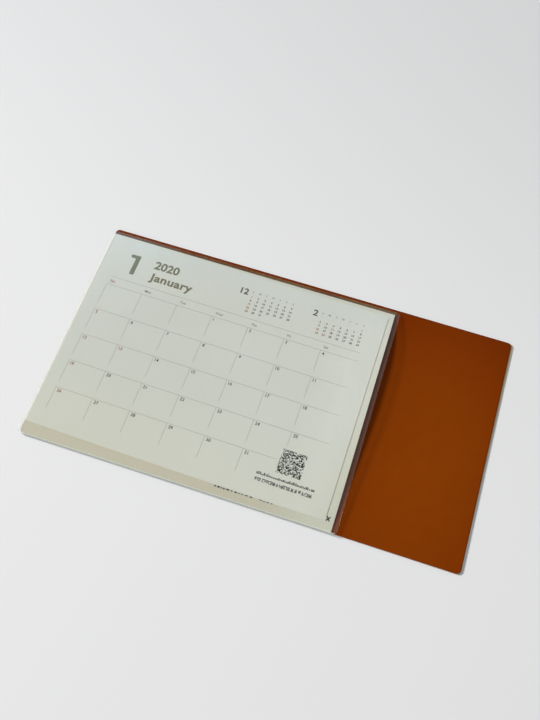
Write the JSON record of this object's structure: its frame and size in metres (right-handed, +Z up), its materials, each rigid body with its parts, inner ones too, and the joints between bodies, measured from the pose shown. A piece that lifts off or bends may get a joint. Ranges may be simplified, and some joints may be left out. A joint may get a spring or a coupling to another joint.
{
  "type": "desk pad calendar",
  "caption": "Leather-look desk mat with a month page and a paper under-sheet under a clear cover sheet whose free edge bows up, beside a bare writing area",
  "frame": {"origin": "the middle of the mat's underside, on the desk", "axes": "+X along the mat's long side to the user's right, +Y away from the user, +Z up"},
  "size_m": [0.6031, 0.3402, 0.0094],
  "materials": {
    "leather": "smooth tan-brown synthetic leather with a fine grain, satin",
    "backing": "tan suede-like backing, matte",
    "undersheet_paper": "cream paper, matte",
    "page_paper": "white paper, matte",
    "clear_sheet": "clear soft vinyl with a faint green tint, glossy",
    "clear_adhesive": "clear adhesive film",
    "light_ink": "light grey-brown print, matte",
    "edge_ink": "tan print, matte",
    "dark_ink": "dark grey print, matte",
    "red_ink": "brick-red print, matte",
    "heading_ink": "olive-grey print, matte",
    "black_ink": "near-black print, matte"
  },
  "bodies": {
    "root": {"leather_face": "leather", "mat_backing": "backing", "paper_undersheet": "undersheet_paper", "calendar_page": "page_paper", "clear_cover": "clear_sheet", "cover_adhesive_strip": "clear_adhesive", "printed_rules": "light_ink", "printed_edge_line": "edge_ink", "printed_dates": "dark_ink", "printed_red_dates": "red_ink", "printed_weekdays": "light_ink", "printed_heading": "heading_ink", "printed_small_months": "dark_ink", "printed_small_red_marks": "red_ink", "printed_block": "black_ink", "printed_cut_marks": "black_ink"}
  },
  "joints": []
}
